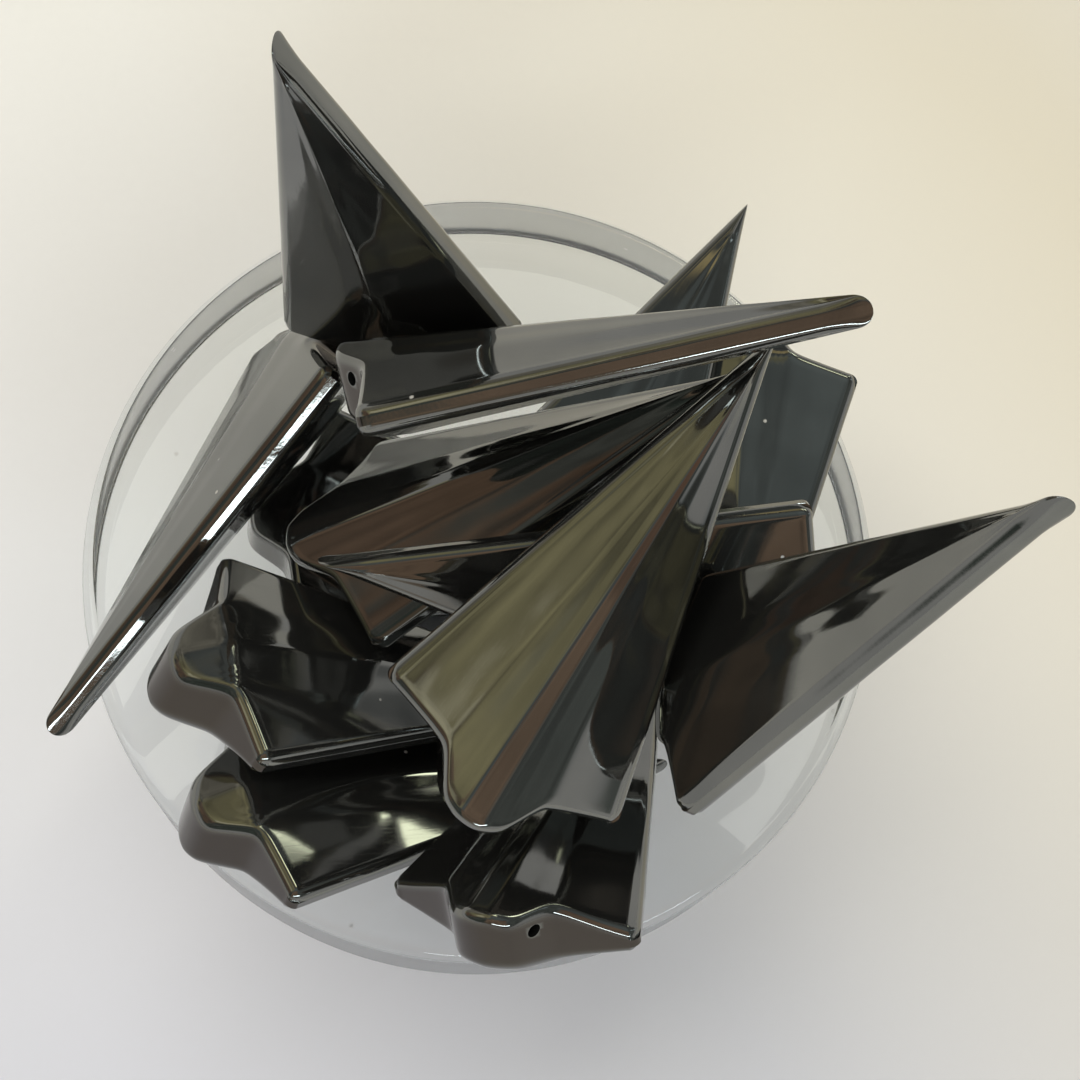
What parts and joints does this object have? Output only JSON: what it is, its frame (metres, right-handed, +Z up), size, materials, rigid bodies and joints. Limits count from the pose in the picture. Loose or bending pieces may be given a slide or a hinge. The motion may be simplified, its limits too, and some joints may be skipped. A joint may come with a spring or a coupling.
{
  "type": "magnetic desk sculpture",
  "caption": "Clear round disc base with a hidden magnet, holding a pile of polished dark ferrite darts shaped like paper planes that pull off one by one.",
  "frame": {"origin": "centre of the disc's underside, where it rests on the desk", "axes": "+Z up along the disc's axis; the picture's right is about +X and its top about +Y"},
  "size_m": [0.077, 0.0784, 0.0786],
  "materials": {
    "clear_acrylic": "clear, polished",
    "base_ferrite": "ground dark ferrite",
    "polished_ferrite": "mirror-polished dark ferrite"
  },
  "bodies": {
    "base": {"base_disc": "clear_acrylic", "base_magnet": "base_ferrite", "magnet_cap": "clear_acrylic"},
    "dart_floor": {"dart_floor": "polished_ferrite"},
    "dart_east": {"dart_east": "polished_ferrite"},
    "dart_top_right": {"dart_top_right": "polished_ferrite"},
    "dart_west": {"dart_west": "polished_ferrite"},
    "dart_south_west": {"dart_south_west": "polished_ferrite"},
    "dart_south": {"dart_south": "polished_ferrite"},
    "dart_under": {"dart_under": "polished_ferrite"},
    "dart_centre": {"dart_centre": "polished_ferrite"},
    "dart_cross": {"dart_cross": "polished_ferrite"},
    "dart_right": {"dart_right": "polished_ferrite"},
    "dart_left": {"dart_left": "polished_ferrite"},
    "dart_crest": {"dart_crest": "polished_ferrite"},
    "dart_top_left": {"dart_top_left": "polished_ferrite"}
  },
  "joints": [
    {"name": "clump_lift", "type": "slide", "parent": "base", "child": "dart_floor", "axis": [0, 0, 1], "range_m": [0, 0.05]},
    {"name": "east_pull", "type": "slide", "parent": "dart_floor", "child": "dart_east", "axis": [0.9938, 0.0869, 0.0698], "range_m": [0, 0.05]},
    {"name": "top_right_pull", "type": "slide", "parent": "dart_floor", "child": "dart_top_right", "axis": [0.8517, 0.3971, 0.342], "range_m": [0, 0.05]},
    {"name": "west_pull", "type": "slide", "parent": "dart_floor", "child": "dart_west", "axis": [-0.8713, -0.3171, 0.3746], "range_m": [0, 0.07]},
    {"name": "south_west_pull", "type": "slide", "parent": "dart_west", "child": "dart_south_west", "axis": [-0.862, -0.4019, 0.309], "range_m": [0, 0.05]},
    {"name": "south_pull", "type": "slide", "parent": "dart_floor", "child": "dart_south", "axis": [0, -0.6947, 0.7193], "range_m": [0, 0.05]},
    {"name": "under_pull", "type": "slide", "parent": "dart_floor", "child": "dart_under", "axis": [0.5481, -0.3838, 0.7431], "range_m": [0, 0.05]},
    {"name": "centre_pull", "type": "slide", "parent": "dart_under", "child": "dart_centre", "axis": [0, -0.788, 0.6157], "range_m": [0, 0.05]},
    {"name": "cross_pull", "type": "slide", "parent": "dart_under", "child": "dart_cross", "axis": [0.9824, -0.1732, 0.0698], "range_m": [0, 0.05]},
    {"name": "right_pull", "type": "slide", "parent": "dart_cross", "child": "dart_right", "axis": [0.633, -0.1116, 0.766], "range_m": [0, 0.05]},
    {"name": "left_pull", "type": "slide", "parent": "dart_floor", "child": "dart_left", "axis": [-0.6393, -0.7618, 0.1045], "range_m": [0, 0.05]},
    {"name": "crest_pull", "type": "slide", "parent": "dart_floor", "child": "dart_crest", "axis": [-0.0476, 0.1308, 0.9903], "range_m": [0, 0.05]},
    {"name": "top_left_pull", "type": "slide", "parent": "dart_crest", "child": "dart_top_left", "axis": [-0.1336, 0.1593, 0.9781], "range_m": [0, 0.05]}
  ]
}
